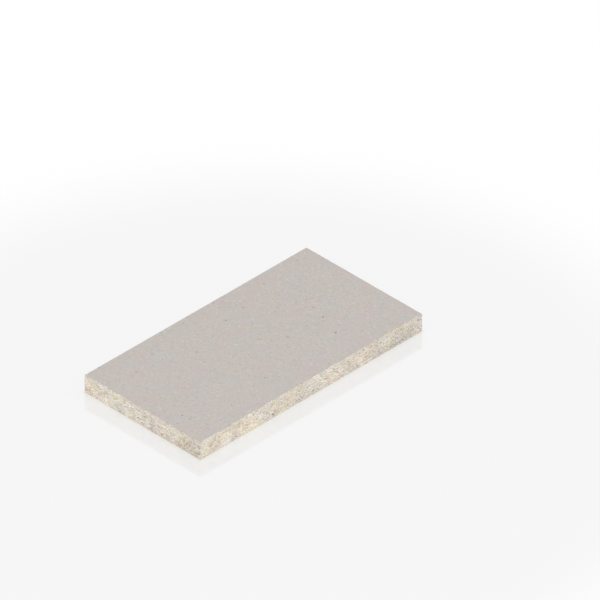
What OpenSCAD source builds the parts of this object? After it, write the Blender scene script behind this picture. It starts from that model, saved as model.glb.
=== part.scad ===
// A cut piece of raw particle board, lying flat.
// Pressed as one slab and sawn to size, so it is one solid.
// Millimetres. X runs along the length, Y across the width, Z up through the
// thickness. The origin is the middle of the face that the board lies on.

/* [Board] */
// Length of the cut piece, along X
board_length = 267; // [120:1:2800]
// Width of the cut piece, along Y
board_width = 140; // [60:1:2100]
// Pressed thickness, along Z
board_thickness = 18; // [8:1:38]

/* [Sawn arrises] */
// Break along every sawn arris, measured along each face that meets there
arris_break = 0.3; // [0.1:0.1:1]

/* [Look] */
// Colour of the sanded faces
face_colour = [0.77, 0.75, 0.73]; // [0:0.01:1]

/* [Hidden] */

// Rectangle centred on the origin, with each corner cut across at 45 degrees
module broken_rectangle(length, width, corner) {
    x = length / 2;
    y = width / 2;
    polygon([
        [x, y - corner], [x - corner, y],
        [corner - x, y], [-x, y - corner],
        [-x, corner - y], [corner - x, -y],
        [x - corner, -y], [x, corner - y],
    ]);
}

// Bar along Z, centred on the origin, with its four long arrises broken
module broken_bar(length, width, height, corner) {
    translate([0, 0, -height / 2])
        linear_extrude(height)
            broken_rectangle(length, width, corner);
}

// Block centred on the origin with all twelve arrises broken: what three
// bars share, one bar along each axis
module broken_block(size, corner) {
    intersection() {
        broken_bar(size.x, size.y, size.z, corner);
        rotate([90, 0, 0]) broken_bar(size.x, size.z, size.y, corner);
        rotate([0, 90, 0]) broken_bar(size.z, size.y, size.x, corner);
    }
}

module board() {
    color(face_colour)
        translate([0, 0, board_thickness / 2])
            broken_block([board_length, board_width, board_thickness], arris_break);
}

board();
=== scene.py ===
"""A cut piece of raw particle board, lying flat on a pale studio floor.

The board is pressed from wood chips in three layers, fine dust and shavings at both faces and
coarse chips in the core. Its faces are sanded and its four edges are sawn.
"""

import math

import bmesh
import bpy
import numpy as np
from bpy.props import FloatProperty, FloatVectorProperty, IntProperty, PointerProperty
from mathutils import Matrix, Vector


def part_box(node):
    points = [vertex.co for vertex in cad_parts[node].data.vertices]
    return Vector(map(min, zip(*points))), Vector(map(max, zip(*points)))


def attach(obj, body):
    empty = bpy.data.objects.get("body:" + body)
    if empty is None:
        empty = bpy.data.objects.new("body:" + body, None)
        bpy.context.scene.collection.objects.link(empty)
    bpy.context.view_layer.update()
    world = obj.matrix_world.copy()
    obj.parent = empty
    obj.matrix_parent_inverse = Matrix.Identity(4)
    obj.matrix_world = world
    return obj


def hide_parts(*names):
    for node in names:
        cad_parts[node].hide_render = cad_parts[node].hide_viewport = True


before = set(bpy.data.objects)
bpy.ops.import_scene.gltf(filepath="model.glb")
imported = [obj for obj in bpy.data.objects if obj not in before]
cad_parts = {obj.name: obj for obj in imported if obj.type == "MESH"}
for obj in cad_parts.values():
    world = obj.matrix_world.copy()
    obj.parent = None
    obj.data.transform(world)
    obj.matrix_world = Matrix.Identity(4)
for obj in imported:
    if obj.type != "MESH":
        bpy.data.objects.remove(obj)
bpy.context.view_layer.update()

bl_info = {
    "name": "Particle Board",
    "version": (1, 0, 0),
    "blender": (4, 5, 0),
    "location": "3D View > Sidebar > Particle Board",
    "description": "Builds a sawn piece of particle board and its studio",
    "category": "Object",
}

MM = 0.001
LOW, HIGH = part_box("board")
SIZE = HIGH - LOW
MIDDLE = (LOW + HIGH) / 2

BOARD_NAME = "sawn_board"
FACE_SLOT, EDGE_SLOT = 0, 1

# The four sawn edges in the order in which they are met, going round the board from the corner
# at low X and low Y: how long each one is, and how far round the board it starts.
EDGE_LENGTH = {"front": SIZE.x, "right": SIZE.y, "back": SIZE.x, "left": SIZE.y}
EDGE_START = {
    "front": 0.0,
    "right": SIZE.x,
    "back": SIZE.x + SIZE.y,
    "left": 2 * SIZE.x + SIZE.y,
}

# How badly the saw has torn the arrises of each edge.
TORN = {"front": 1.0, "left": 1.0, "right": 0.4, "back": 0.3}

# Each point of the board keeps the place that it had before the pits were sunk, and how far
# along its edge it lies, from 0 to 1.
SAWN_PLACE = "sawn_place"
ALONG_EDGE = "saw_pass"


def colour_property(name, description, default):
    """A colour that the panel shows as a swatch, in scene linear values."""
    return FloatVectorProperty(
        name=name,
        description=description,
        subtype="COLOR",
        size=3,
        min=0.0,
        max=1.0,
        default=default,
    )


def length_property(name, description, default):
    """A length in metres."""
    return FloatProperty(
        name=name,
        description=description,
        unit="LENGTH",
        min=0.0,
        precision=5,
        default=default,
    )


def share_property(name, description, default):
    """A share between none and all."""
    return FloatProperty(
        name=name,
        description=description,
        subtype="FACTOR",
        min=0.0,
        max=1.0,
        default=default,
    )


def power_property(name, description, default):
    """The power of a lamp in watts."""
    return FloatProperty(
        name=name, description=description, unit="POWER", min=0.0, default=default
    )


class ParticleBoardShape(bpy.types.PropertyGroup):
    """Sizes of the sawn arrises and of the relief in the sawn edges."""

    step_along: length_property(
        "Step Along", "Distance between points round the sawn edge", 0.55 * MM
    )
    step_up: length_property(
        "Step Up", "Distance between points up the sawn edge", 0.3625 * MM
    )
    arris: length_property("Arris", "Break along every sawn arris", 0.3 * MM)
    crumble: length_property("Crumble", "How far the arrises are nibbled away", 1.1 * MM)
    relief: length_property("Relief", "Depth of the deepest gap between chips", 0.8 * MM)
    seed: IntProperty(
        name="Seed",
        description="Another number nibbles the arrises another way",
        min=0,
        default=18,
    )


class ParticleBoardColours(bpy.types.PropertyGroup):
    """Colours of the sanded faces and of the chips that the saw has cut."""

    face: colour_property("Face", "Sanded face", (0.503, 0.478, 0.449))
    face_warm: colour_property("Face Warm", "Warmer patches of the face", (0.520, 0.466, 0.438))
    face_light: colour_property("Face Light", "Pale fibres in the face", (0.70, 0.66, 0.62))
    face_dark: colour_property("Face Dark", "Darker fibres in the face", (0.38, 0.34, 0.31))
    fleck: colour_property("Dark Fleck", "Bark dust in the faces", (0.12, 0.113, 0.105))
    fine: colour_property("Fine Layer", "Fine chips near the faces", (0.88, 0.83, 0.76))
    pale: colour_property("Pale Chip", "Palest core chips", (1.0, 0.985, 0.93))
    cream: colour_property("Cream Chip", "Paler core chips", (0.878, 0.845, 0.779))
    straw: colour_property("Straw Chip", "Most core chips", (0.784, 0.736, 0.659))
    tan: colour_property("Tan Chip", "Darker core chips", (0.63, 0.565, 0.475))
    amber: colour_property("Amber Chip", "Resinous chips", (0.72, 0.54, 0.40))
    bark: colour_property("Bark", "Bark and knots", (0.28, 0.205, 0.15))
    # Painted shade: the dark colour put into the gaps between the chips, where the wood has only
    # shade.
    gap: colour_property("Gap", "Deep between the chips", (0.44, 0.375, 0.30))
    ochre: colour_property("Ochre Patches", "Tint of resinous shavings", (1.0, 0.958, 0.883))
    ashen: colour_property("Ashen Patches", "Tint of sapwood shavings", (0.955, 0.967, 0.981))
    rosy: colour_property("Rosy Patches", "Tint of reddish shavings", (1.0, 0.957, 0.970))
    yellow: colour_property("Yellow Patches", "Tint of yellowish shavings", (0.985, 0.993, 0.934))


class ParticleBoardStudio(bpy.types.PropertyGroup):
    """Floor, light and camera."""

    floor: colour_property("Floor", "Floor near the board", (0.921, 0.921, 0.921))
    # Painted shade: a warm darker tint of the floor where the board touches it, for the contact
    # shadow and the board's warm bounce light.
    contact_shade: colour_property("Contact", "Floor where the board touches it", (0.908, 0.878, 0.822))
    gloss: share_property("Gloss", "How much of the board the floor mirrors", 0.15)
    shadow: share_property("Shadow", "How much of the board's shadow the floor shows", 0.09)
    backdrop: colour_property("Backdrop", "Behind the floor", (1.0, 1.0, 1.0))
    sky: FloatProperty(
        name="Sky", description="Strength of the even light", min=0.0, default=0.551
    )
    key: power_property("Key", "Main lamp", 22.7)
    fill: power_property("Fill", "Lamp on the other side", 19.1)
    back: power_property("Back", "Lamp behind the board", 12.5)
    azimuth: FloatProperty(
        name="Azimuth",
        description="Direction of the camera round the board",
        subtype="ANGLE",
        default=math.radians(-45.0),
    )
    elevation: FloatProperty(
        name="Elevation",
        description="Height of the camera above the horizon",
        subtype="ANGLE",
        default=math.atan(math.sqrt(0.5)),
    )
    lens: FloatProperty(
        name="Lens", description="Focal length in millimetres", min=1.0, default=1200.0
    )
    frame_width: length_property(
        "Frame Width", "Width that the picture spans at the board", 0.5105
    )
    aside: FloatProperty(
        name="Aside",
        description="How far the board lies left of the picture's middle",
        unit="LENGTH",
        default=0.03935,
    )
    below: FloatProperty(
        name="Below",
        description="How far the board lies below the picture's middle",
        unit="LENGTH",
        default=0.0378,
    )


# ---------------------------------------------------------------- the board's mesh


def round_the_edge(place):
    """Which sawn edge a point lies on, and how far along it, going round the board."""
    x, y = place.x - LOW.x, place.y - LOW.y
    off = {"front": abs(y), "right": abs(SIZE.x - x), "back": abs(SIZE.y - y), "left": abs(x)}
    along = {"front": x, "right": y, "back": SIZE.x - x, "left": SIZE.y - y}
    side = min(off, key=off.get)
    return side, along[side]


def press_slab(mesh, shape):
    """Draws the outline, and raises it layer by layer into a closed slab. Returns its two faces."""
    bmesh.ops.create_grid(mesh, x_segments=1, y_segments=1, size=0.5)
    bmesh.ops.scale(mesh, vec=(SIZE.x, SIZE.y, 1), verts=mesh.verts)
    bmesh.ops.translate(mesh, vec=(MIDDLE.x, MIDDLE.y, LOW.z), verts=mesh.verts)
    bmesh.ops.bevel(
        mesh,
        geom=mesh.verts[:],
        offset=shape.arris,
        offset_type="OFFSET",
        segments=1,
        profile=0.5,
        affect="VERTICES",
        material=-1,
    )
    for axis in (0, 1):
        sides = [
            e for e in mesh.edges if abs((e.verts[0].co - e.verts[1].co)[axis]) > SIZE[axis] / 2
        ]
        cuts = round(SIZE[axis] / shape.step_along) - 1
        bmesh.ops.bisect_edges(mesh, edges=sides, cuts=cuts, edge_percents={})
    top = mesh.faces[:][0]
    core = SIZE.z - 2 * shape.arris
    layers = round(core / shape.step_up)
    for rise in (shape.arris, *[core / layers] * layers, shape.arris):
        made = bmesh.ops.extrude_face_region(mesh, geom=[top, *top.edges, *top.verts])
        top = next(g for g in made["geom"] if isinstance(g, bmesh.types.BMFace))
        bmesh.ops.translate(mesh, vec=(0, 0, rise), verts=top.verts[:])
    under = min(mesh.faces, key=lambda f: f.calc_center_median().z)
    return under, top


# An arris is worn by fine noise, and here and there a chip has broken out of it. Each noise bends
# about once in so many points, and a bite is taken where the product of two passes a limit.
WEAR_BEND, WEAR = 3.1, 0.4
BITE_BENDS, BITE_LIMIT, BITE = (8.3, 2.3), 0.38, 2.2

# Beside an arris the pits are shallower, and away from it the nibbling soon fades out: the share
# of each at the board's face, and the distance over which the share changes by a whole.
PIT_BESIDE_ARRIS, PIT_GROWS_OVER = 0.35, 1.5 * MM
NIBBLE_BESIDE_ARRIS, NIBBLE_FADES_OVER = 0.5, 1.2 * MM

# Points this near to a corner, in shares of the arris, are moved in from both of its edges.
NEAR_CORNER = 1.1


def smooth_noise(rng, count, spacing):
    """Closed one-dimensional noise between 0 and 1, with a bend about every spacing points."""
    knots = max(4, round(count / spacing))
    heights = rng.random(knots)
    at = np.arange(count) * knots / count
    low = np.floor(at).astype(int)
    part = at - low
    part = part * part * (3 - 2 * part)
    return heights[low % knots] * (1 - part) + heights[(low + 1) % knots] * part


def nibble_arris(rng, count):
    """How deep an arris is nibbled at each point round the board, in shares of the crumble."""
    wear = smooth_noise(rng, count, WEAR_BEND)
    bites = math.prod(smooth_noise(rng, count, bend) for bend in BITE_BENDS)
    return WEAR * wear + BITE * np.clip(bites - BITE_LIMIT, 0, 1)


def sink(point, side, depth, corner):
    """Moves a point straight into the board, and a point near a corner in from both edges."""
    inward_x, inward_y = MIDDLE.x - point.co.x, MIDDLE.y - point.co.y
    if side in ("left", "right") or abs(inward_x) > SIZE.x / 2 - corner:
        point.co.x += math.copysign(depth, inward_x)
    if side in ("front", "back") or abs(inward_y) > SIZE.y / 2 - corner:
        point.co.y += math.copysign(depth, inward_y)


def carve_edges(mesh, under, top, shape):
    """Sinks gaps and torn chips into the sawn edges, and nibbles their arrises."""
    pits = pit_depths(mesh)
    count = round(2 * (SIZE.x + SIZE.y) / shape.step_along)
    rng = np.random.default_rng(shape.seed)
    nibbles = [nibble_arris(rng, count) for _ in ("lower arris", "upper arris")]
    places = mesh.verts.layers.float_vector.new(SAWN_PLACE)
    along_layer = mesh.verts.layers.float.new(ALONG_EDGE)
    rims = (set(under.verts), set(top.verts))
    for point, pit in zip(mesh.verts, pits):
        point[places] = point.co
        side, along = round_the_edge(point.co)
        point[along_layer] = along / EDGE_LENGTH[side]
        height = point.co.z - LOW.z
        level = min(height, SIZE.z - height)
        upper = int(height > SIZE.z / 2)
        step = round((EDGE_START[side] + along) / shape.step_along) % count
        nibble = nibbles[upper][step] * (shape.crumble * TORN[side])
        if point in rims[upper]:
            depth = shape.arris + nibble
        else:
            depth = shape.relief * pit * min(1.0, PIT_BESIDE_ARRIS + level / PIT_GROWS_OVER)
            depth += nibble * max(0.0, NIBBLE_BESIDE_ARRIS - level / NIBBLE_FADES_OVER)
        sink(point, side, depth, corner=NEAR_CORNER * shape.arris)


FACE_CELL = 9 * MM  # spacing of the grid in the sanded faces
SNAP = 1e-7  # a point this near to a cut lies on it


def cut_faces(mesh, under, top):
    """Cuts both sanded faces into a grid, so that no triangle in them is long and thin."""
    for face in (under, top):
        cut = [face, *face.edges, *face.verts]
        for axis, normal in enumerate(((1, 0, 0), (0, 1, 0))):
            count = round(SIZE[axis] / FACE_CELL)
            for cell in range(1, count):
                place = Vector(LOW)
                place[axis] += SIZE[axis] * cell / count
                cut = bmesh.ops.bisect_plane(
                    mesh, geom=cut, dist=SNAP, plane_co=place, plane_no=normal
                )["geom"]


# The export map has the two faces side by side below, and three rows of strips above them: the
# front edge, the back edge, and both ends. All of these are shares of the map.
EXPORT_MAP = "OFBake"
MAP_GAP = 0.006
FACE_ROOM = 0.60
ROW = (1 - FACE_ROOM) / 3
HALF_WIDTH = 0.5 - 1.5 * MAP_GAP
HALVES = (MAP_GAP, 0.5 + MAP_GAP / 2)


def face_place(point, upper):
    """Where a point of a sanded face lies on the export map."""
    across = (point.y - LOW.y) / SIZE.y
    along = (point.x - LOW.x) / SIZE.x
    left = HALVES[0 if upper else 1]
    return left + across * HALF_WIDTH, MAP_GAP + along * (FACE_ROOM - 2 * MAP_GAP)


def edge_place(point, side):
    """Where a point of a sawn edge lies on the export map."""
    row = {"front": 0, "back": 1, "left": 2, "right": 2}[side]
    up = (point.z - LOW.z) / SIZE.z
    height = FACE_ROOM + row * ROW + MAP_GAP + up * (ROW - 2 * MAP_GAP)
    if side in ("front", "back"):
        along = (point.x - LOW.x) / SIZE.x
        return MAP_GAP + along * (1 - 2 * MAP_GAP), height
    along = (point.y - LOW.y) / SIZE.y
    return HALVES[0 if side == "left" else 1] + along * HALF_WIDTH, height


def map_board(mesh, under, top):
    """Lays the faces and the four edges side by side on the export map."""
    layer = mesh.loops.layers.uv.new(EXPORT_MAP)
    for face in mesh.faces:
        flat = face in (under, top)
        side, _ = round_the_edge(face.calc_center_median())
        for corner in face.loops:
            point = corner.vert.co
            corner[layer].uv = face_place(point, face is top) if flat else edge_place(point, side)


def finish_object(name, mesh, materials):
    """Turns a bmesh into an object at the origin."""
    data = bpy.data.meshes.new(name)
    mesh.to_mesh(data)
    mesh.free()
    for material in materials:
        data.materials.append(material)
    made = bpy.data.objects.new(name, data)
    bpy.context.scene.collection.objects.link(made)
    return made


def build_board(shape, colours):
    """Makes the board with its sawn edges carved, and hands it to the frame."""
    mesh = bmesh.new()
    under, top = press_slab(mesh, shape)
    for face in mesh.faces:
        flat = face in (under, top)
        face.material_index = FACE_SLOT if flat else EDGE_SLOT
        face.smooth = not flat
    for rim in (*under.edges, *top.edges):
        rim.smooth = False
    map_board(mesh, under, top)
    carve_edges(mesh, under, top, shape)
    cut_faces(mesh, under, top)
    board = finish_object(BOARD_NAME, mesh, [face_material(colours), edge_material(colours)])
    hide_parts("board")
    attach(board, "root")
    return board


# ---------------------------------------------------------------- building with nodes


FLOAT, VECTOR = "NodeSocketFloat", "NodeSocketVector"
NOISE_RANGE = (0.3, 0.7)  # where nearly all values of a noise lie


def add_node(tree, kind, sockets=None, **settings):
    """Adds a node. Each entry of sockets is linked if it is another node's output, or set."""
    made = tree.nodes.new(kind)
    for name, value in settings.items():
        setattr(made, name, value)
    for key, value in (sockets or {}).items():
        if isinstance(value, bpy.types.NodeSocket):
            tree.links.new(value, made.inputs[key])
        else:
            made.inputs[key].default_value = value
    return made


def calculate(tree, operation, *values):
    """A Math node's output."""
    return add_node(tree, "ShaderNodeMath", dict(enumerate(values)), operation=operation).outputs[0]


def calculate_vector(tree, operation, *values):
    """A Vector Math node's output. Plain numbers among the values are lengths in millimetres."""
    sockets = {
        number: value
        if isinstance(value, bpy.types.NodeSocket)
        else tuple(length * MM for length in value)
        for number, value in enumerate(values)
    }
    return add_node(tree, "ShaderNodeVectorMath", sockets, operation=operation).outputs[0]


def measure(tree, vector):
    """The length of a vector."""
    return add_node(tree, "ShaderNodeVectorMath", {0: vector}, operation="LENGTH").outputs[1]


def combine(tree, x, y, z):
    """A vector made from three numbers."""
    return add_node(tree, "ShaderNodeCombineXYZ", {0: x, 1: y, 2: z}).outputs[0]


def split(tree, vector):
    """The three parts of a vector."""
    return add_node(tree, "ShaderNodeSeparateXYZ", {0: vector}).outputs


def split_colour(tree, colour):
    """The three parts of a colour."""
    kind = "ShaderNode" if tree.bl_idname == "ShaderNodeTree" else "FunctionNode"
    return add_node(tree, kind + "SeparateColor", {0: colour}).outputs


def remap(tree, value, from_low, from_high, to_low=0.0, to_high=1.0, smooth=False):
    """Maps one range of values to another, and stays inside it."""
    made = add_node(
        tree,
        "ShaderNodeMapRange",
        {0: value, 1: from_low, 2: from_high, 3: to_low, 4: to_high},
        interpolation_type="SMOOTHSTEP" if smooth else "LINEAR",
        clamp=True,
    )
    return made.outputs[0]


def mix_value(tree, factor, below, above):
    """A number mixed from two."""
    made = add_node(tree, "ShaderNodeMix", {0: factor, 2: below, 3: above}, data_type="FLOAT")
    return made.outputs[0]


def opaque(colour):
    """Gives a plain colour its alpha, and leaves a socket as it is."""
    return colour if isinstance(colour, bpy.types.NodeSocket) else (*colour, 1.0)


def blend(tree, factor, below, above, kind="MIX"):
    """A colour mixed from two."""
    sockets = {"Factor": factor, 6: opaque(below), 7: opaque(above)}
    made = add_node(tree, "ShaderNodeMix", sockets, data_type="RGBA", blend_type=kind)
    return made.outputs[2]


def tinted(tree, colour, tint):
    """A colour multiplied by another."""
    return blend(tree, 1.0, colour, tint, "MULTIPLY")


def dimmed(tree, colour, level):
    """A colour multiplied by a number."""
    grey = add_node(tree, "ShaderNodeCombineColor", {0: level, 1: level, 2: level}).outputs[0]
    return tinted(tree, colour, grey)


def shaded(tree, colour, value, swing, between=NOISE_RANGE):
    """A colour that is darker where a value is low and lighter where it is high."""
    return dimmed(tree, colour, remap(tree, value, *between, 1.0 - swing, 1.0 + swing))


def noise_node(tree, vector, scale, detail, **sockets):
    """A three-dimensional Noise Texture node."""
    sockets = {"Vector": vector, "Scale": scale, "Detail": detail, **sockets}
    return add_node(tree, "ShaderNodeTexNoise", sockets, noise_dimensions="3D")


def object_place(tree):
    """The place on the piece, in metres."""
    return add_node(tree, "ShaderNodeTexCoord").outputs["Object"]


def kept_value(tree, name, output):
    """What the mesh keeps under a name at each point."""
    return add_node(tree, "ShaderNodeAttribute", attribute_name=name).outputs[output]


def from_middle(tree, place):
    """How far a place lies above or below the board's middle."""
    above = calculate(tree, "SUBTRACT", split(tree, place)[2], MIDDLE.z)
    return calculate(tree, "ABSOLUTE", above)


def new_group(name, inputs):
    """An empty node group with named inputs. Returns it with its inputs' values."""
    group = bpy.data.node_groups.new(name, "ShaderNodeTree")
    for label, kind in inputs.items():
        group.interface.new_socket(label, in_out="INPUT", socket_type=kind)
    return group, group.nodes.new("NodeGroupInput").outputs


def put_out(group, values):
    """Gives a group its named outputs, which are all plain numbers. Returns the group."""
    result = group.nodes.new("NodeGroupOutput")
    for label, value in values.items():
        group.interface.new_socket(label, in_out="OUTPUT", socket_type=FLOAT)
        group.links.new(value, result.inputs[label])
    return group


def use_group(tree, name, build, sockets):
    """Places a node group in a tree, and returns its outputs. It is built when first asked for."""
    group = bpy.data.node_groups.get(name) or build(name)
    return add_node(tree, "ShaderNodeGroup", sockets, node_tree=group).outputs


# ---------------------------------------------------------------- pressed wood


# Slivers of wood, from the bottom of the heap to the top: how far apart they lie along, across
# and up the board, how long, wide and thick they are, all in millimetres, and how many of the
# places hold one.
CORE_CHIPS = (
    ((4.0, 4.0, 1.55), (5.8, 2.3, 1.20), 0.85),
    ((3.4, 3.4, 1.35), (4.8, 2.0, 1.05), 0.80),
    ((4.2, 4.2, 1.45), (6.8, 1.8, 0.92), 0.75),
    ((3.0, 3.0, 1.25), (3.4, 1.7, 1.05), 0.65),
    ((3.2, 3.2, 1.10), (4.6, 1.3, 0.74), 0.60),
)
FINE_CHIPS = (
    ((2.0, 2.0, 0.80), (3.0, 1.1, 0.64), 0.80),
    ((1.7, 1.7, 0.66), (2.5, 0.8, 0.50), 0.70),
    ((1.4, 1.4, 0.56), (1.9, 0.6, 0.40), 0.60),
)

# Lumps of wood that lie under the slivers, in the core and in the fine layers: how far apart they
# are, in millimetres.
CORE_LUMPS = (2.5, 1.9, 0.95)
FINE_LUMPS = (1.5, 1.1, 0.52)
LUMP_TONE, LUMP_TONES = 0.1, 0.65  # the darkest one's tone, and how far the tones go up from it
LUMP_DEPTH = 0.25  # how deep a lump lies, where a gap is 1
LUMP_RIM, GAP_RIM = 0.80, 0.86  # how far out, in spacings, a lump ends and a gap is at its full depth

# The shape of a sliver.
TILT = 0.25  # how far it may lean out of the flat, in radians
SLANT = 0.3  # how far its ends slant
FRAY = 1.1  # how ragged its ends are
TAPER = 0.5  # how much narrower it is there
SUNK_SHARE, SUNK = 0.3, 0.3  # how many lie deeper than the rest, and how deep at the most
DROOP = 0.10  # how far it slopes down from halfway out to its rim
SAG = (0.0, 0.0, 0.12)  # how far it sinks into the gaps beneath it, in millimetres
FIBRE = (2.4, 0.26, 0.20)  # length, width and thickness of a fibre, in millimetres
FIBRE_SHIFT = 40.0  # how far apart, in fibres, two slivers may read the pattern of their fibres

# Each sliver comes with few random values, so more are made from them, by these factors.
TILT_DRAW, SUNK_DRAW, WARMTH_DRAW = 9.3, 7.7, 5.9

# Every outline is ruffled by a noise of this spacing, which pushes it to and fro by half of these
# lengths along, across and up.
RUFFLE_SPACING = 0.9 * MM
RUFFLE = (0.5 * MM, 0.5 * MM, 0.3 * MM)

# How far below a face the fine layer starts to give way to the core, and where the core begins.
FINE_LAYER, CORE_LAYER = 1.4 * MM, 2.8 * MM
FINE_RELIEF = 0.8  # how deep its gaps are, where the core's are 1

# How softly the rims of the slivers are drawn: where they are coloured, where they are sanded, and
# where the mesh is carved after them, which has fewer points to show them.
SAWN_SOFTNESS, SANDED_SOFTNESS, CARVED_SOFTNESS = 0.06, 0.2, 0.3


def another(tree, chance, times):
    """One more random value from 0 to 1, made from one that is already there."""
    return calculate(tree, "FRACT", calculate(tree, "MULTIPLY", chance, times))


def wood_cells(tree, place, spacing):
    """Cells of wood: distance from each one's middle, the way there, three random values."""
    made = add_node(
        tree,
        "ShaderNodeTexVoronoi",
        {
            "Vector": calculate_vector(tree, "DIVIDE", place, spacing),
            "Scale": 1.0,
            "Randomness": 1.0,
        },
        voronoi_dimensions="3D",
        feature="F1",
        distance="EUCLIDEAN",
    )
    middle = calculate_vector(tree, "MULTIPLY", made.outputs["Position"], spacing)
    way = calculate_vector(tree, "SUBTRACT", place, middle)
    return made.outputs["Distance"], way, split_colour(tree, made.outputs["Color"])


def fibres(tree, place, chance):
    """Fine lines that run along a sliver, near 0.5. Each sliver has its own."""
    shift = calculate(tree, "MULTIPLY", chance, FIBRE_SHIFT)
    lines = calculate_vector(tree, "DIVIDE", place, FIBRE)
    moved = calculate_vector(tree, "ADD", lines, combine(tree, shift, shift, shift))
    return noise_node(tree, moved, scale=1.0, detail=1.0).outputs["Fac"]


def nearest_sliver(tree, place, spacing, size):
    """The sliver nearest to a place: its reach there, its fibres and three random values.

    Reach is 0 in its middle and 1 where it ends. Each sliver lies its own way, and is ragged
    at both ends.
    """
    _, way, chance = wood_cells(tree, place, spacing)
    turn = calculate(tree, "MULTIPLY", chance[0], math.pi)
    tilt = remap(tree, another(tree, chance[0], TILT_DRAW), 0.0, 1.0, -TILT, TILT)
    own = add_node(
        tree,
        "ShaderNodeVectorRotate",
        {"Vector": way, "Rotation": combine(tree, tilt, tilt, turn)},
        rotation_type="EULER_XYZ",
        invert=True,
    ).outputs[0]
    lines = fibres(tree, own, chance[0])
    half = tuple(length / 2 for length in size)
    along, across, up = split(tree, calculate_vector(tree, "DIVIDE", own, half))
    slanted = calculate(tree, "MULTIPLY_ADD", across, SLANT, along)
    slanted = calculate(tree, "ABSOLUTE", slanted)
    ragged = calculate(tree, "SUBTRACT", lines, 0.5)
    frayed = calculate(tree, "MULTIPLY_ADD", ragged, FRAY, slanted)
    across = calculate(tree, "ABSOLUTE", across)
    up = calculate(tree, "ABSOLUTE", up)
    body = calculate(tree, "MULTIPLY_ADD", frayed, TAPER, calculate(tree, "MAXIMUM", across, up))
    return calculate(tree, "MAXIMUM", frayed, body), lines, chance


def heap_of_chips(tree, place, softness, lumps, chips):
    """Chips laid over each other. Returns their tone, warmth, depth and fibres.

    Each sliver sags a little into the gaps beneath it.
    """
    distance, way, chance = wood_cells(tree, place, lumps)
    tone = calculate(tree, "MULTIPLY_ADD", chance[0], LUMP_TONES, LUMP_TONE)
    warmth = chance[1]
    rim = calculate(tree, "SUBTRACT", LUMP_RIM, softness)
    depth = remap(tree, distance, rim, GAP_RIM, LUMP_DEPTH, 1.0)
    lines = fibres(tree, way, chance[2])
    for spacing, size, share in chips:
        sag = calculate_vector(tree, "MULTIPLY", depth, SAG)
        sagging = calculate_vector(tree, "ADD", place, sag)
        reach, own_lines, chance = nearest_sliver(tree, sagging, spacing, size)
        there = calculate(tree, "LESS_THAN", chance[2], share)
        inner = calculate(tree, "SUBTRACT", 1.0, softness)
        on_chip = calculate(tree, "MULTIPLY", remap(tree, reach, inner, 1.0, 1.0, 0.0), there)
        sunk = remap(tree, another(tree, chance[1], SUNK_DRAW), 0.0, SUNK_SHARE, SUNK, 0.0)
        sunk = calculate(tree, "ADD", sunk, remap(tree, reach, 0.5, 1.0, 0.0, DROOP))
        tone = mix_value(tree, on_chip, tone, chance[1])
        warmth = mix_value(tree, on_chip, warmth, another(tree, chance[1], WARMTH_DRAW))
        depth = mix_value(tree, on_chip, depth, sunk)
        lines = mix_value(tree, on_chip, lines, own_lines)
    return tone, warmth, depth, lines


def ruffled(tree, place):
    """The place, pushed about a little so that no outline is smooth."""
    noise = noise_node(tree, place, scale=1 / RUFFLE_SPACING, detail=2.0).outputs["Color"]
    push = add_node(
        tree, "ShaderNodeVectorMath", {0: noise, 1: (0.5, 0.5, 0.5)}, operation="SUBTRACT"
    )
    made = add_node(
        tree,
        "ShaderNodeVectorMath",
        {0: push.outputs[0], 1: RUFFLE, 2: place},
        operation="MULTIPLY_ADD",
    )
    return made.outputs[0]


def pressed_wood(tree, place, softness):
    """The board all through: coarse chips in the core and fine ones at both faces."""
    pushed = ruffled(tree, place)
    core = heap_of_chips(tree, pushed, softness, CORE_LUMPS, CORE_CHIPS)
    fine = heap_of_chips(tree, pushed, softness, FINE_LUMPS, FINE_CHIPS)
    half = SIZE.z / 2
    fineness = remap(
        tree, from_middle(tree, pushed), half - CORE_LAYER, half - FINE_LAYER, smooth=True
    )
    fine_depth = calculate(tree, "MULTIPLY", fine[2], FINE_RELIEF)
    return {
        "Tone": mix_value(tree, fineness, core[0], fine[0]),
        "Warmth": mix_value(tree, fineness, core[1], fine[1]),
        "Depth": mix_value(tree, fineness, core[2], fine_depth),
        "Fibres": mix_value(tree, fineness, core[3], fine[3]),
        "Fineness": fineness,
    }


def pressed_dust(tree, place, softness):
    """Only the fine chips, as the sander leaves them."""
    fine = heap_of_chips(tree, ruffled(tree, place), softness, FINE_LUMPS, FINE_CHIPS)
    return dict(zip(("Tone", "Warmth", "Depth", "Fibres"), fine))


def build_wood(name):
    """Pressed wood as a group."""
    group, given = new_group(name, {"Vector": VECTOR, "Softness": FLOAT})
    return put_out(group, pressed_wood(group, given[0], given[1]))


def build_dust(name):
    """Pressed dust as a group."""
    group, given = new_group(name, {"Vector": VECTOR, "Softness": FLOAT})
    return put_out(group, pressed_dust(group, given[0], given[1]))


def build_drift(name):
    """Slow patches, as where shavings of one log lie together, as a group."""
    group, given = new_group(name, {"Vector": VECTOR, "Patch": FLOAT})
    scale = calculate(group, "DIVIDE", 1.0, given["Patch"])
    noise = noise_node(group, given["Vector"], scale, detail=2.0, Roughness=0.5)
    return put_out(
        group, {"Value": remap(group, noise.outputs["Fac"], *NOISE_RANGE, smooth=True)}
    )


def build_grain(name):
    """Finely pressed dust as a group. Its value lies near 0.5."""
    group, given = new_group(name, {"Vector": VECTOR, "Size": VECTOR})
    sized = calculate_vector(group, "DIVIDE", given["Vector"], given["Size"])
    noise = noise_node(group, sized, scale=1.0, detail=3.0, Roughness=0.6)
    return put_out(group, {"Value": noise.outputs["Fac"]})


def drift(tree, place, patch):
    """A value from 0 to 1 that drifts over patches of about that size."""
    return use_group(tree, "Slow Drift", build_drift, {"Vector": place, "Patch": patch})["Value"]


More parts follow.
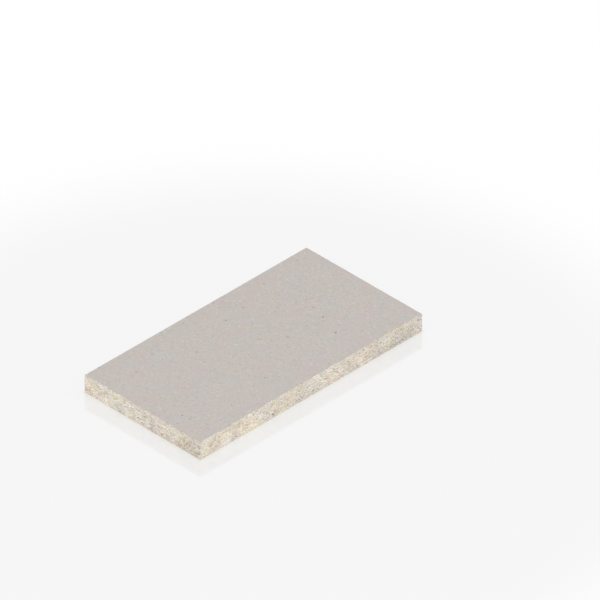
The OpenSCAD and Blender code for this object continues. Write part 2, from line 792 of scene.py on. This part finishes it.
def pit_depths(mesh):
    """How deep the pressed wood lies at each point of the mesh, from flush, 0, to a gap, 1.

    The same nodes that colour the wood are asked, so each pit is where its gap is seen.
    """
    name = "pit_probe"
    data = bpy.data.meshes.new(name)
    mesh.to_mesh(data)
    probe = bpy.data.objects.new(name, data)
    bpy.context.scene.collection.objects.link(probe)
    tree = bpy.data.node_groups.new(name, "GeometryNodeTree")
    for in_out in ("INPUT", "OUTPUT"):
        tree.interface.new_socket(
            "Geometry", in_out=in_out, socket_type="NodeSocketGeometry"
        )
    given = tree.nodes.new("NodeGroupInput")
    result = tree.nodes.new("NodeGroupOutput")
    place = tree.nodes.new("GeometryNodeInputPosition").outputs[0]
    depth = pressed_wood(tree, place, CARVED_SOFTNESS)["Depth"]
    sockets = {"Geometry": given.outputs[0], "Name": name, "Value": depth}
    store = add_node(tree, "GeometryNodeStoreNamedAttribute", sockets)
    tree.links.new(store.outputs[0], result.inputs[0])
    probe.modifiers.new(name, "NODES").node_group = tree
    seen = probe.evaluated_get(bpy.context.evaluated_depsgraph_get()).data
    depths = np.empty(len(seen.vertices), np.float32)
    seen.attributes[name].data.foreach_get("value", depths)
    bpy.data.objects.remove(probe)
    bpy.data.meshes.remove(data)
    bpy.data.node_groups.remove(tree)
    return depths


# ---------------------------------------------------------------- materials


# Slow patches of the sanded face: how large they are, and the two tints of the slighter ones.
FACE_PATCH, FACE_TINT_PATCH = 16 * MM, 11 * MM
FACE_TINTS = ((1.0, 1.0, 0.978), (1.0, 0.995, 1.022))
FACE_GRAIN = (1.4 * MM, 1.4 * MM, 1.4 * MM)

# How far the sanded face goes darker and lighter with each of its patterns.
FACE_TONE_SWING, FACE_GRAIN_SWING, FACE_FIBRE_SWING = 0.07, 0.03, 0.03
FACE_ROUGHNESS = (0.68, 0.82)

# Slivers of another colour in the sanded face: from which warmth they turn, at which they have
# turned, the colour, and how much of it they take.
FACE_SLIVERS = (
    (0.91, 0.93, "face_dark", 0.36),
    (0.09, 0.06, "face_light", 0.26),
    (0.972, 0.980, "fleck", 0.10),
    (0.016, 0.010, "face_light", 0.40),
    (0.9965, 0.9975, "fleck", 0.18),
    (0.9986, 0.9990, "fleck", 0.80),
)

# The tones, from 0 to 1, at which a chip in a sawn edge has each colour. Between them the colours
# run into each other.
BARK_TONE, PALE_TONE = 0.0, 0.88
CHIP_TONES = ((0.05, "tan"), (0.27, "straw"), (0.60, "cream"))
AMBER_WARMTH, AMBER_SHARE = (0.90, 0.97), 0.8  # the warmest chips are amber
FINE_PALING = 0.05  # how much paler the fine layers are
# Painted shade in the gaps between chips: the deeper the wood lies, the more of the gap colour it
# takes.
GAP_SHADE_DEPTHS, GAP_SHADE_SHARE = (0.35, 0.9), 0.67  # the deeper the wood lies, the darker it is
CHIP_SWING = 0.08  # how far the fibres darken and lighten a chip
EDGE_ROUGHNESS = 0.85
FIBRE_HEIGHT = 0.3  # how far the fibres stand up in the relief, where a gap is 1 deep

# Slow patches of the sawn edges: how large they are, and the two tints that they go between, or
# how much darker and lighter they are.
EDGE_TINTS = ((19 * MM, "ochre", "ashen"), (9 * MM, "rosy", "yellow"))
EDGE_TONES = ((26 * MM, 0.06), (7.5 * MM, 0.075))
# Sanding dust in the sawn edges: how far down from a face it reaches, and how much of it is there.
DUST_REACH, DUST_SHARE = 1.1 * MM, 0.18
# Each edge is a little brighter over its first part and darker towards its end: over which part
# of the edge it changes, and how bright it is before and after.
END_DARKENING_SPAN, END_DARKENING = (0.2, 0.9), (1.035, 0.905)


def new_material(name):
    """A material with only its surface and output nodes. Returns it, its tree and its surface."""
    material = bpy.data.materials.new(name)
    material.use_nodes = True
    tree = material.node_tree
    tree.nodes.clear()
    surface = tree.nodes.new("ShaderNodeBsdfPrincipled")
    output = tree.nodes.new("ShaderNodeOutputMaterial")
    tree.links.new(surface.outputs[0], output.inputs["Surface"])
    return material, tree, surface


def add_relief(tree, surface, height, strength, distance):
    """Gives a surface relief that is too fine for the mesh."""
    sockets = {"Strength": strength, "Distance": distance, "Height": height}
    bump = add_node(tree, "ShaderNodeBump", sockets)
    tree.links.new(bump.outputs[0], surface.inputs["Normal"])


def face_material(colours):
    """Sanded face: pressed dust with faint fibres, patches and a few flecks of bark."""
    material, tree, surface = new_material("sanded_face")
    place = object_place(tree)
    warmth = drift(tree, place, FACE_PATCH)
    colour = blend(tree, warmth, colours.face, colours.face_warm)
    tint = blend(tree, drift(tree, place, FACE_TINT_PATCH), *FACE_TINTS)
    colour = tinted(tree, colour, tint)
    wood = use_group(
        tree, "Pressed Dust", build_dust, {"Vector": place, "Softness": SANDED_SOFTNESS}
    )
    grain = use_group(tree, "Pressed Grain", build_grain, {"Vector": place, "Size": FACE_GRAIN})
    colour = shaded(tree, colour, wood["Tone"], FACE_TONE_SWING, between=(0.0, 1.0))
    colour = shaded(tree, colour, grain["Value"], FACE_GRAIN_SWING)
    colour = shaded(tree, colour, wood["Fibres"], FACE_FIBRE_SWING)
    for start, end, name, share in FACE_SLIVERS:
        rare = remap(tree, wood["Warmth"], start, end, 0.0, share)
        colour = blend(tree, rare, colour, getattr(colours, name))
    tree.links.new(colour, surface.inputs["Base Color"])
    rough = remap(tree, grain["Value"], *NOISE_RANGE, *FACE_ROUGHNESS)
    tree.links.new(rough, surface.inputs["Roughness"])
    height = calculate(tree, "ADD", grain["Value"], wood["Tone"])
    add_relief(tree, surface, height, strength=0.25, distance=0.05 * MM)
    return material


def chip_colour(tree, tone, colours):
    """The colour of a chip by its tone, from bark to the palest wood."""
    ramp = add_node(tree, "ShaderNodeValToRGB", {0: tone})
    stops = ramp.color_ramp.elements
    stops[0].position, stops[0].color = BARK_TONE, opaque(colours.bark)
    stops[1].position, stops[1].color = PALE_TONE, opaque(colours.pale)
    for position, name in CHIP_TONES:
        stops.new(position).color = opaque(getattr(colours, name))
    return ramp.outputs[0]


def edge_material(colours):
    """Sawn edge: chips of many tones in the core, paler dust at both faces, painted shade in the
    gaps, and darker towards the end of each edge.
    """
    material, tree, surface = new_material("sawn_edge")
    place = kept_value(tree, SAWN_PLACE, "Vector")
    wood = use_group(
        tree, "Pressed Wood", build_wood, {"Vector": place, "Softness": SAWN_SOFTNESS}
    )
    colour = chip_colour(tree, wood["Tone"], colours)
    amber = remap(tree, wood["Warmth"], *AMBER_WARMTH, 0.0, AMBER_SHARE)
    colour = blend(tree, amber, colour, colours.amber)
    paling = calculate(tree, "MULTIPLY", wood["Fineness"], FINE_PALING)
    colour = blend(tree, paling, colour, colours.fine)
    colour = shaded(tree, colour, wood["Fibres"], CHIP_SWING)
    # Painted shade: deeper wood takes on the dark gap colour, on top of the carved relief.
    dark = remap(tree, wood["Depth"], *GAP_SHADE_DEPTHS, 0.0, GAP_SHADE_SHARE)
    colour = blend(tree, dark, colour, colours.gap)
    for patch, one, other in EDGE_TINTS:
        tints = getattr(colours, one), getattr(colours, other)
        colour = tinted(tree, colour, blend(tree, drift(tree, place, patch), *tints))
    for patch, swing in EDGE_TONES:
        colour = shaded(tree, colour, drift(tree, place, patch), swing, between=(0.0, 1.0))
    half = SIZE.z / 2
    dusty = remap(tree, from_middle(tree, place), half - DUST_REACH, half, 0.0, DUST_SHARE)
    colour = blend(tree, dusty, colour, colours.face)
    # The edge is a little brighter over its first part and darker towards its end.
    along = kept_value(tree, ALONG_EDGE, "Fac")
    end_darkening = remap(tree, along, *END_DARKENING_SPAN, *END_DARKENING, smooth=True)
    colour = dimmed(tree, colour, end_darkening)
    tree.links.new(colour, surface.inputs["Base Color"])
    surface.inputs["Roughness"].default_value = EDGE_ROUGHNESS
    lie = calculate(tree, "MULTIPLY", wood["Depth"], -1.0)
    height = calculate(tree, "MULTIPLY_ADD", wood["Fibres"], FIBRE_HEIGHT, lie)
    add_relief(tree, surface, height, strength=0.8, distance=0.45 * MM)
    return material


# ---------------------------------------------------------------- studio


FLOOR_RADIUS = 8.0
FLOOR_BELOW = 0.02 * MM  # how far the floor lies below the board, so that they share no plane
FLOOR_LIGHT = 1.07  # how bright the lamps and the sky make a white floor
FLOOR_BOUNCE = (0.8, 0.8, 0.8)  # what the floor throws back at the board
MIRROR_ROUGHNESS = 0.07
# Painted shade: the floor beside the board is tinted warm and darker, for its contact shadow and warm
# bounce light.
CONTACT_SHADE_REACH = 4.0 * MM  # how far from the board its warm contact line fades out
POOL_SHIFT = 100  # how far towards the camera the floor's own colour has its middle, in mm
POOL_FADE = (0.30, 0.44)  # how far from there it starts to fade, and is all backdrop, in metres

LAMP_DIRECTIONS = {"key": (0.75, -1.6, 1.5), "fill": (-1.8, 0.2, 1.3), "back": (0.9, 1.6, 1.2)}
LAMP_DISTANCE, LAMP_SIZE = 2.4, 1.6


def outside_board(tree, place):
    """How far a place lies outside the board's box."""
    off = calculate_vector(tree, "SUBTRACT", place, tuple(MIDDLE / MM))
    off = calculate_vector(tree, "ABSOLUTE", off)
    off = calculate_vector(tree, "SUBTRACT", off, tuple(SIZE / 2 / MM))
    return measure(tree, calculate_vector(tree, "MAXIMUM", off, (0, 0, 0)))


def floor_colour(tree, studio, plain, contact_shade):
    """The floor's colour: a painted warm contact shade beside the board, pale about it, and the
    backdrop's far away.

    Returns it with the share of the backdrop in it.
    """
    place = object_place(tree)
    # Painted contact shade: warm and darker beside the board, fading out within a few millimetres.
    near = remap(tree, outside_board(tree, place), 0.0, CONTACT_SHADE_REACH, 1.0, 0.0, smooth=True)
    colour = blend(tree, near, plain, contact_shade)
    pool = (POOL_SHIFT * math.sin(studio.azimuth), -POOL_SHIFT * math.cos(studio.azimuth), 0.0)
    away = measure(tree, calculate_vector(tree, "SUBTRACT", place, pool))
    fade = remap(tree, away, *POOL_FADE, smooth=True)
    return blend(tree, fade, colour, studio.backdrop), fade


def floor_material(studio):
    """Pale floor that fades into the backdrop and keeps the board's shadow and reflection.

    It shines by itself but for the share that the shadow darkens. The mirror adds white, so the
    colours below it are darker by as much.
    """
    material, tree, surface = new_material("studio_floor")
    even = (1 - studio.gloss) * (1 - studio.shadow * (1 - FLOOR_LIGHT))
    plain, contact_shade = (
        tuple((level - studio.gloss) / even for level in colour)
        for colour in (studio.floor, studio.contact_shade)
    )
    shown, fade = floor_colour(tree, studio, plain, contact_shade)
    seen = tree.nodes.new("ShaderNodeLightPath").outputs["Is Camera Ray"]
    lit = remap(tree, fade, 0.0, 1.0, studio.shadow, 0.0)
    base = blend(tree, seen, FLOOR_BOUNCE, dimmed(tree, shown, lit))
    tree.links.new(base, surface.inputs["Base Color"])
    tree.links.new(shown, surface.inputs["Emission Color"])
    glow = calculate(tree, "MULTIPLY", calculate(tree, "SUBTRACT", 1.0, lit), seen)
    tree.links.new(glow, surface.inputs["Emission Strength"])
    surface.inputs["Roughness"].default_value = 1.0
    surface.inputs["Specular IOR Level"].default_value = 0.0
    mirror = add_node(
        tree, "ShaderNodeBsdfGlossy", {"Color": (1, 1, 1, 1), "Roughness": MIRROR_ROUGHNESS}
    )
    share = calculate(tree, "MULTIPLY", seen, studio.gloss)
    sockets = {0: share, 1: surface.outputs[0], 2: mirror.outputs[0]}
    both = add_node(tree, "ShaderNodeMixShader", sockets)
    output = next(n for n in tree.nodes if n.type == "OUTPUT_MATERIAL")
    tree.links.new(both.outputs[0], output.inputs["Surface"])
    return material


def add_lamp(name, direction, power):
    """A large soft lamp that points at the board."""
    light = bpy.data.lights.new(name, "AREA")
    light.shape = "DISK"
    light.size = LAMP_SIZE
    light.energy = power
    lamp = bpy.data.objects.new(name, light)
    towards = Vector(direction).normalized()
    lamp.location = towards * LAMP_DISTANCE
    lamp.rotation_euler = towards.to_track_quat("Z", "Y").to_euler()
    lamp.visible_glossy = False
    bpy.context.scene.collection.objects.link(lamp)


def light_world(studio):
    """Even light from all round, and a plain backdrop where the camera looks past the floor."""
    world = bpy.data.worlds.new("studio_world")
    world.use_nodes = True
    tree = world.node_tree
    tree.nodes.clear()
    path = tree.nodes.new("ShaderNodeLightPath").outputs
    seen = calculate(tree, "MAXIMUM", path["Is Camera Ray"], path["Is Glossy Ray"])
    seen = calculate(tree, "MAXIMUM", seen, path["Is Transmission Ray"])
    strength = remap(tree, seen, 0.0, 1.0, studio.sky, 1.0)
    background = add_node(
        tree,
        "ShaderNodeBackground",
        {"Color": opaque(studio.backdrop), "Strength": strength},
    )
    output = tree.nodes.new("ShaderNodeOutputWorld")
    tree.links.new(background.outputs[0], output.inputs["Surface"])
    bpy.context.scene.world = world


def place_camera(studio):
    """A very long lens, so that the board's parallel edges stay parallel."""
    data = bpy.data.cameras.new("camera")
    data.lens = studio.lens
    camera = bpy.data.objects.new("camera", data)
    bpy.context.scene.collection.objects.link(camera)
    level = math.cos(studio.elevation)
    back = Vector(
        (
            math.sin(studio.azimuth) * level,
            -math.cos(studio.azimuth) * level,
            math.sin(studio.elevation),
        )
    )
    turn = back.to_track_quat("Z", "Y")
    right, up = turn @ Vector((1, 0, 0)), turn @ Vector((0, 1, 0))
    top = Vector((MIDDLE.x, MIDDLE.y, HIGH.z))
    aim = top + right * studio.aside + up * studio.below
    distance = studio.frame_width * data.lens / data.sensor_width
    camera.location = aim + back * distance
    camera.rotation_mode = "QUATERNION"
    camera.rotation_quaternion = turn
    data.clip_end = distance * 1.5
    bpy.context.scene.camera = camera


def build_studio(studio):
    """Sets up the floor, the lamps, the world and the camera, with a plain view of colours."""
    mesh = bmesh.new()
    bmesh.ops.create_circle(mesh, cap_ends=True, segments=96, radius=FLOOR_RADIUS)
    bmesh.ops.translate(mesh, vec=(0, 0, LOW.z - FLOOR_BELOW), verts=mesh.verts)
    floor = finish_object("studio_floor", mesh, [floor_material(studio)])
    for name, direction in LAMP_DIRECTIONS.items():
        add_lamp(f"{name}_lamp", direction, getattr(studio, name))
    light_world(studio)
    place_camera(studio)
    bpy.context.scene.view_settings.view_transform = "Standard"


# ---------------------------------------------------------------- add-on


class PARTICLEBOARD_OT_board(bpy.types.Operator):
    """Build the sawn piece of particle board"""

    bl_idname = "particleboard.board"
    bl_label = "Build Board"
    bl_options = {"REGISTER", "UNDO"}

    def execute(self, context):
        scene = context.scene
        build_board(scene.particle_board_shape, scene.particle_board_colours)
        return {"FINISHED"}


class PARTICLEBOARD_OT_studio(bpy.types.Operator):
    """Set up the floor, the light and the camera"""

    bl_idname = "particleboard.studio"
    bl_label = "Set Up Studio"
    bl_options = {"REGISTER", "UNDO"}

    def execute(self, context):
        build_studio(context.scene.particle_board_studio)
        return {"FINISHED"}


class PARTICLEBOARD_PT_panel(bpy.types.Panel):
    """The board's sizes, colours and studio"""

    bl_idname = "PARTICLEBOARD_PT_panel"
    bl_label = "Particle Board"
    bl_space_type = "VIEW_3D"
    bl_region_type = "UI"
    bl_category = "Particle Board"

    def draw(self, context):
        scene = context.scene
        for title, settings, operator in (
            ("Chips and Arrises", scene.particle_board_shape, PARTICLEBOARD_OT_board),
            ("Colours", scene.particle_board_colours, None),
            ("Studio", scene.particle_board_studio, PARTICLEBOARD_OT_studio),
        ):
            box = self.layout.box()
            box.label(text=title)
            for name in settings.__annotations__:
                box.prop(settings, name)
            if operator is not None:
                box.operator(operator.bl_idname)


SETTINGS = {
    "particle_board_shape": ParticleBoardShape,
    "particle_board_colours": ParticleBoardColours,
    "particle_board_studio": ParticleBoardStudio,
}
CLASSES = (
    *SETTINGS.values(),
    PARTICLEBOARD_OT_board,
    PARTICLEBOARD_OT_studio,
    PARTICLEBOARD_PT_panel,
)


def register():
    """Registers the classes and gives each scene its settings."""
    for each in CLASSES:
        bpy.utils.register_class(each)
    for name, group in SETTINGS.items():
        setattr(bpy.types.Scene, name, PointerProperty(type=group))


def unregister():
    """Takes the settings and the classes away again."""
    for name in SETTINGS:
        delattr(bpy.types.Scene, name)
    for each in reversed(CLASSES):
        bpy.utils.unregister_class(each)


def main():
    """Builds everything in order."""
    register()
    bpy.ops.particleboard.studio()
    bpy.ops.particleboard.board()


if __name__ == "__main__":
    main()
